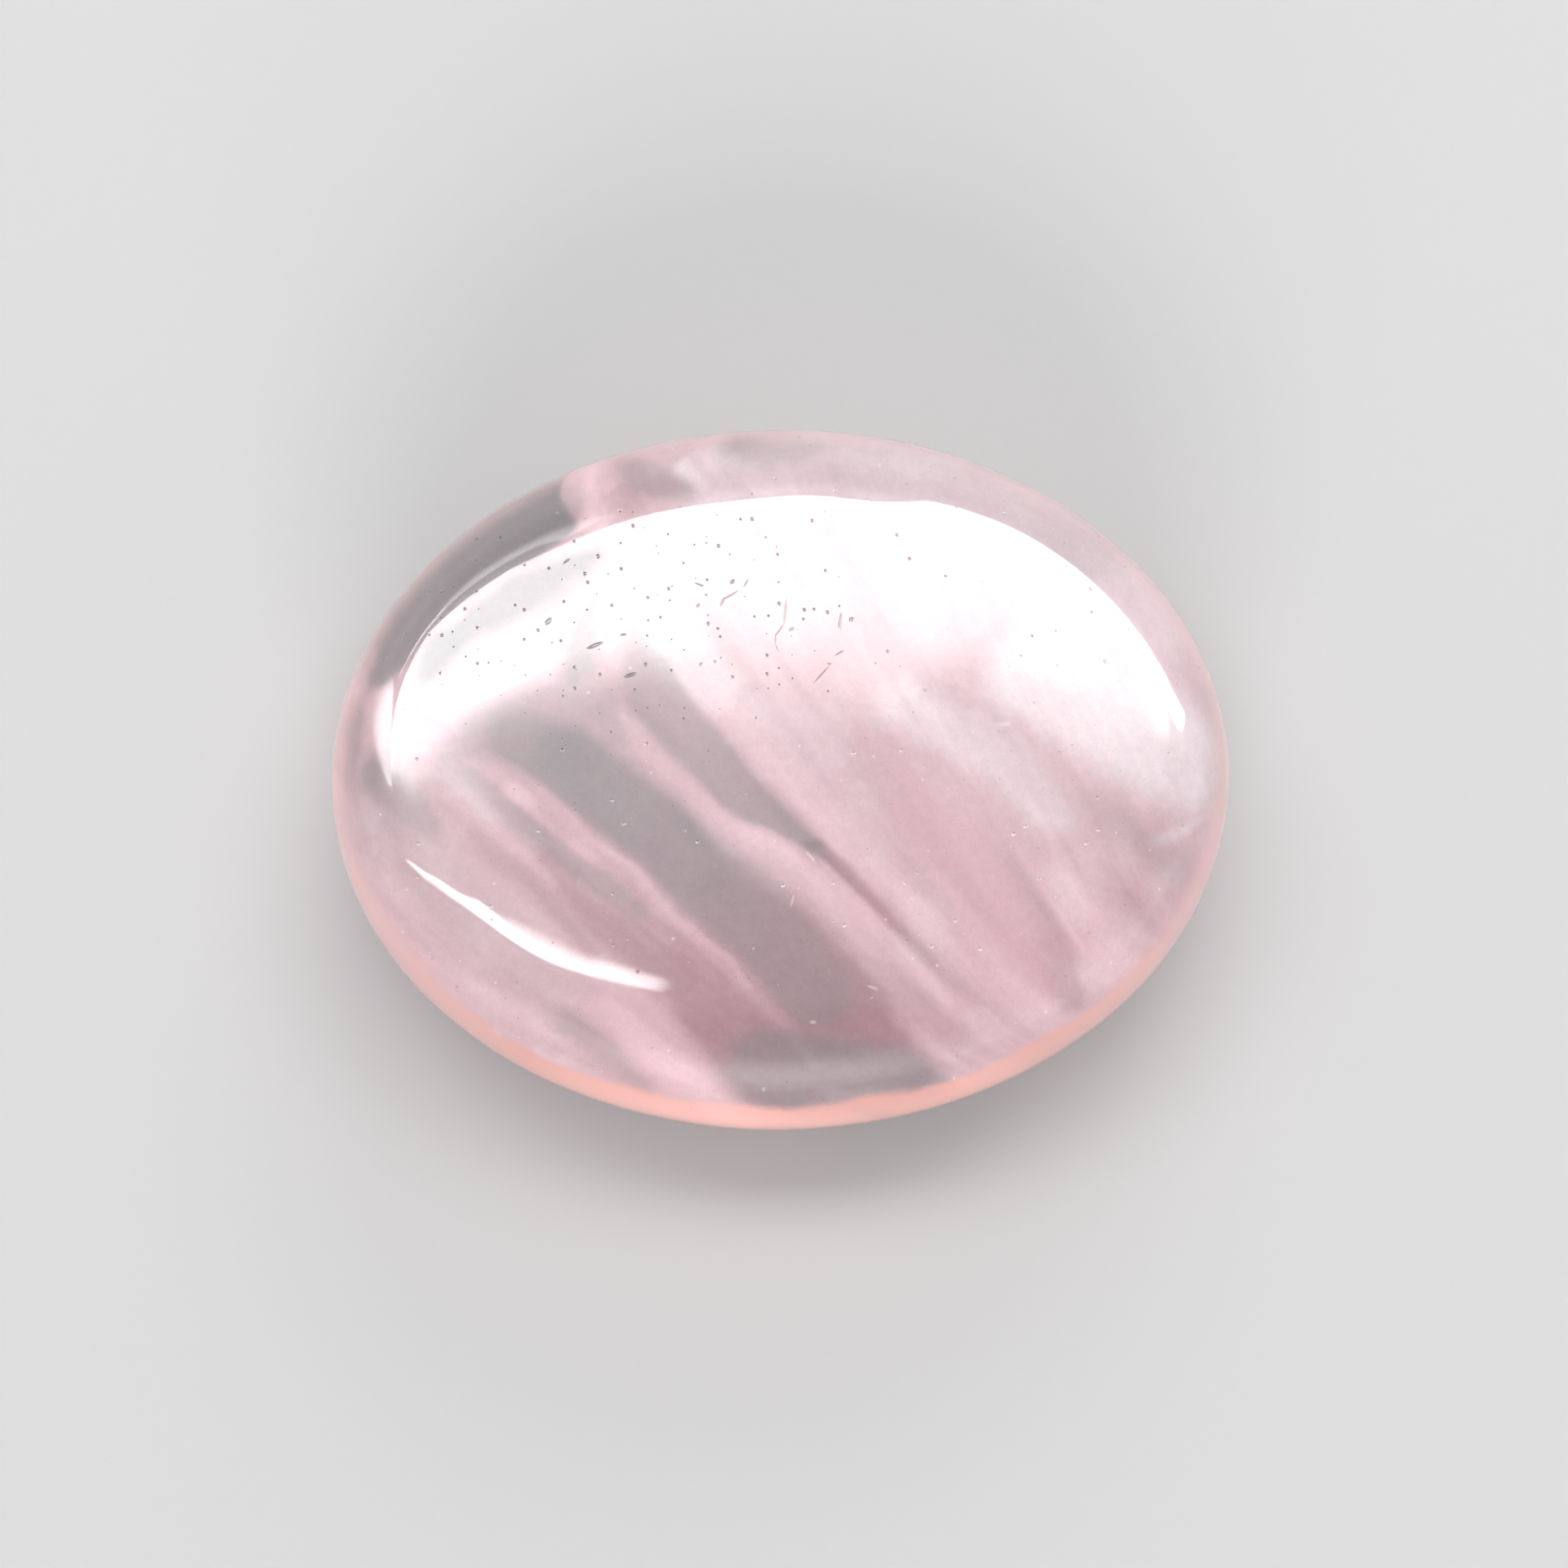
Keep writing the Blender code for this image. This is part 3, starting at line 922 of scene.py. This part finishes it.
def rose_quartz(finish):
    """Milky rose quartz: clear grey bands, rose ground, milky veils, a painted salmon glow on the rim and a
    high polish.
    """
    material = bpy.data.materials.new("rose_quartz")
    material.use_nodes = True
    tree = material.node_tree
    graph = Graph(tree)
    shader = tree.nodes["Principled BSDF"]
    output = tree.nodes["Material Output"]

    coordinates = graph.node("ShaderNodeTexCoord", {}).outputs["Object"]
    place = graph.vector("SCALE", coordinates, scale=1.0 / MM)
    over_edge = graph.math("SUBTRACT", graph.split(place)[2], EQUATOR * HEIGHT / MM)
    broad_streaks, fine_streaks = streaks(graph, place)
    clouds = graph.noise(place, 0.16, 4.0, 0.6).outputs["Fac"]

    # Each veil's cover, made uneven by the streaks
    uneven = graph.ramp(fine_streaks, 0.3, 0.7, 0.9, 1.1)
    cover = {
        name: graph.ease(graph.math("MULTIPLY", attribute(graph, name), uneven), 0.0, 1.0)
        for name in VEILS
    }
    colour = banded_colour(graph, finish, place, cover, broad_streaks, fine_streaks, clouds)
    # Painted light: the rim's glow mixed into the base colour
    rim, painted_glow_colour = painted_rim_glow(graph, finish, place, over_edge, broad_streaks, clouds)
    colour = graph.mix(rim, colour, painted_glow_colour)

    rusty, pits, specks, pit_dirt_and_shade = fine_marks(graph, place, over_edge)
    colour = graph.mix(graph.math("MULTIPLY", specks, 0.42), colour, PALE_SPECK)
    # The pits' colour, partly dirt and partly painted shade, mixed into the base
    colour = graph.mix(graph.math("MULTIPLY", pits, pit_dirt_and_shade), colour, PIT_DIRT_AND_SHADE)
    colour = graph.mix(graph.math("MULTIPLY", rusty, 0.7), colour, RUST)
    sunken = graph.math("MAXIMUM", pits, graph.math("MULTIPLY", rusty, 0.3))
    dents = graph.node(
        "ShaderNodeBump",
        {"Height": graph.math("MULTIPLY", sunken, -1.0), "Strength": 0.8, "Distance": PIT_DEPTH},
    ).outputs[0]

    # The clear bands let more light through than the ground, and the ridges less
    see_through = graph.math("MULTIPLY_ADD", cover["clear"], 0.28, 0.16)
    milky = graph.math("MULTIPLY", cover["ridge"], 0.12)
    see_through = graph.math("SUBTRACT", see_through, milky, clamp=True)

    for key, value in {
        "Base Color": colour,
        "Roughness": 0.28,
        "IOR": QUARTZ_IOR,
        "Specular IOR Level": 0.3,
        "Transmission Weight": see_through,
        "Subsurface Weight": 0.4,
        "Subsurface Radius": (1.0, 0.62, 0.56),
        "Subsurface Scale": 2.0 * MM,
        "Sheen Weight": 0.2,
        "Sheen Roughness": 0.25,
        "Sheen Tint": (1.0, 0.5, 0.45),
        "Coat Weight": 1.0,
        "Coat Roughness": 0.02,
        "Coat IOR": QUARTZ_IOR,
        "Normal": dents,
        "Coat Normal": dents,
    }.items():
        graph.put(shader.inputs[key], value)
    inside = graph.node(
        "ShaderNodeVolumeAbsorption",
        {"Color": finish.depth_tint, "Density": finish.depth_density},
    )
    tree.links.new(inside.outputs[0], output.inputs["Volume"])
    return material


class MakePalmStone(bpy.types.Operator):
    """Makes the palm stone's fine surface in place of its plain solid"""

    bl_idname = "palm_stone.make_stone"
    bl_label = "Make palm stone"

    def execute(self, context):
        shape = context.scene.palm_stone_shape
        rows = stone_surface(shape)
        poles = np.array([[0.0, 0.0, HEIGHT], [0.0, 0.0, 0.0]])
        points = np.concatenate([rows.reshape(-1, 3), poles])
        mesh = mesh_from("polished_stone", points, closed_faces(len(rows)))
        veil_attributes(mesh, points)
        stone = bpy.data.objects.new("polished_stone", mesh)
        context.scene.collection.objects.link(stone)
        mesh.materials.append(rose_quartz(context.scene.palm_stone_finish))
        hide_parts("palm_stone")
        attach(stone, "root")
        return {"FINISHED"}


def add_area_light(scene, name, direction, along, distance, size, power, shift=(0.0, 0.0)):
    """A rectangular light on a sheet across a direction, with its first side along a line."""
    back = direction.normalized()
    right = (along - along.dot(back) * back).normalized()
    up = back.cross(right)
    light = bpy.data.lights.new(name, "AREA")
    light.shape = "RECTANGLE"
    light.size, light.size_y = size
    light.energy = power
    lamp = bpy.data.objects.new(name, light)
    lamp.location = back * distance + right * shift[0] + up * shift[1]
    lamp.rotation_euler = Matrix((right, up, back)).transposed().to_euler()
    scene.collection.objects.link(lamp)
    return lamp


def soft_room():
    """A pale room that is brighter near the horizon than overhead."""
    world = bpy.data.worlds.new("soft_room")
    world.use_nodes = True
    graph = Graph(world.node_tree)
    way = graph.node("ShaderNodeTexCoord", {}).outputs["Generated"]
    _, _, up = graph.split(way)
    background = world.node_tree.nodes["Background"]
    background.inputs["Color"].default_value = (0.96, 0.97, 1.0, 1.0)
    graph.put(background.inputs["Strength"], graph.ease(up, 0.0, 0.8, 1.2, 0.4))
    return world


def shape_light(light, reflection, low, high):
    """Lets a light shine only between the reflection's two lines, with a soft edge along each."""

    def on_face(points):
        return [((u - low[0]) / (high[0] - low[0]), (v - low[1]) / (high[1] - low[1])) for u, v in points]

    light.use_nodes = True
    graph = Graph(light.node_tree)
    along, up, _ = graph.split(graph.node("ShaderNodeNewGeometry", {}).outputs["Parametric"])
    over = graph.math("SUBTRACT", up, graph.follow(along, on_face(reflection.lower)))
    under = graph.math("SUBTRACT", graph.follow(along, on_face(reflection.upper)), up)
    lower_soft, upper_soft = (soft / (high[1] - low[1]) for soft in reflection.soft)
    shine = graph.math("MULTIPLY", graph.ease(over, 0.0, lower_soft), graph.ease(under, 0.0, upper_soft))
    graph.put(light.node_tree.nodes["Emission"].inputs["Strength"], shine)


def add_reflection(scene, reflection):
    """A light that only the polish shows."""
    places = np.array(reflection.lower + reflection.upper)
    low, high = places.min(axis=0), places.max(axis=0)
    size = high - low
    lamp = add_area_light(
        scene,
        reflection.name,
        Vector(reflection.direction),
        Vector(reflection.along),
        reflection.distance,
        size,
        reflection.radiance * pi * size[0] * size[1],
        shift=(low + high) / 2,
    )
    lamp.visible_diffuse = False
    shape_light(lamp.data, reflection, low, high)


class MakeStudio(bpy.types.Operator):
    """Makes the pale floor, the soft lights and the camera"""

    bl_idname = "palm_stone.make_studio"
    bl_label = "Make studio"

    def execute(self, context):
        scene = context.scene
        studio = scene.palm_stone_studio
        self.make_floor(scene, studio)
        self.make_lights(scene)
        self.make_camera(scene, studio)
        scene.view_settings.view_transform = "Standard"
        return {"FINISHED"}

    def make_floor(self, scene, studio):
        corners = np.array([[-1, -1, 0], [1, -1, 0], [1, 1, 0], [-1, 1, 0]]) * FLOOR_SIDE / 2
        mesh = mesh_from("floor", corners, np.array([[0, 1, 2], [0, 2, 3]]))
        material = bpy.data.materials.new("pale_floor")
        material.use_nodes = True
        shader = material.node_tree.nodes["Principled BSDF"]
        shader.inputs["Base Color"].default_value = (*studio.floor, 1.0)
        shader.inputs["Roughness"].default_value = 0.85
        mesh.materials.append(material)
        floor = bpy.data.objects.new("floor", mesh)
        scene.collection.objects.link(floor)

    def make_lights(self, scene):
        scene.world = soft_room()
        level = Vector((1.0, 0.0, 0.0))
        for light in SOFT_LIGHTS:
            way = Vector(light.direction)
            lamp = add_area_light(scene, light.name, way, level, light.distance, light.size, light.power)
            lamp.visible_glossy = False
        for reflection in REFLECTIONS:
            add_reflection(scene, reflection)

    def make_camera(self, scene, studio):
        """Looks at the stone so that its middle and its length fall where they do in the picture."""
        across, up = cos(studio.azimuth), sin(studio.azimuth)
        level = cos(studio.elevation)
        back = Vector((up * level, -across * level, sin(studio.elevation)))
        turn = back.to_track_quat("Z", "Y")
        per_pixel = HALF_LENGTH / HALF_LENGTH_IN_PICTURE
        right = (PICTURE_MIDDLE[0] - STONE_IN_PICTURE[0]) * per_pixel
        down = (PICTURE_MIDDLE[1] - STONE_IN_PICTURE[1]) * per_pixel
        middle = Vector((0.0, 0.0, EQUATOR * HEIGHT))
        aim = middle + turn @ Vector((right, -down, 0.0))
        camera = bpy.data.cameras.new("camera")
        half_picture = PICTURE_SIDE / 2 * per_pixel
        camera.lens = camera.sensor_width / 2 * studio.distance / half_picture
        eye = bpy.data.objects.new("camera", camera)
        eye.location = aim + back * studio.distance
        eye.rotation_euler = turn.to_euler()
        scene.collection.objects.link(eye)
        scene.camera = eye


class PalmStonePanel(bpy.types.Panel):
    """Lists the stone's and the studio's steps"""

    bl_idname = "VIEW3D_PT_palm_stone"
    bl_label = "Palm stone"
    bl_space_type = "VIEW_3D"
    bl_region_type = "UI"
    bl_category = "Palm stone"

    def draw(self, context):
        layout = self.layout
        scene = context.scene
        for group in (scene.palm_stone_shape, scene.palm_stone_finish, scene.palm_stone_studio):
            box = layout.box()
            for name in group.__annotations__:
                box.prop(group, name)
        layout.operator(MakePalmStone.bl_idname)
        layout.operator(MakeStudio.bl_idname)


CLASSES = (
    PalmStoneShape,
    PalmStoneFinish,
    PalmStoneStudio,
    MakePalmStone,
    MakeStudio,
    PalmStonePanel,
)


def register():
    for kind in CLASSES:
        bpy.utils.register_class(kind)
    bpy.types.Scene.palm_stone_shape = PointerProperty(type=PalmStoneShape)
    bpy.types.Scene.palm_stone_finish = PointerProperty(type=PalmStoneFinish)
    bpy.types.Scene.palm_stone_studio = PointerProperty(type=PalmStoneStudio)


def unregister():
    del bpy.types.Scene.palm_stone_studio
    del bpy.types.Scene.palm_stone_finish
    del bpy.types.Scene.palm_stone_shape
    for kind in reversed(CLASSES):
        bpy.utils.unregister_class(kind)


def main():
    register()
    bpy.ops.palm_stone.make_stone()
    bpy.ops.palm_stone.make_studio()


if __name__ == "__main__":
    main()
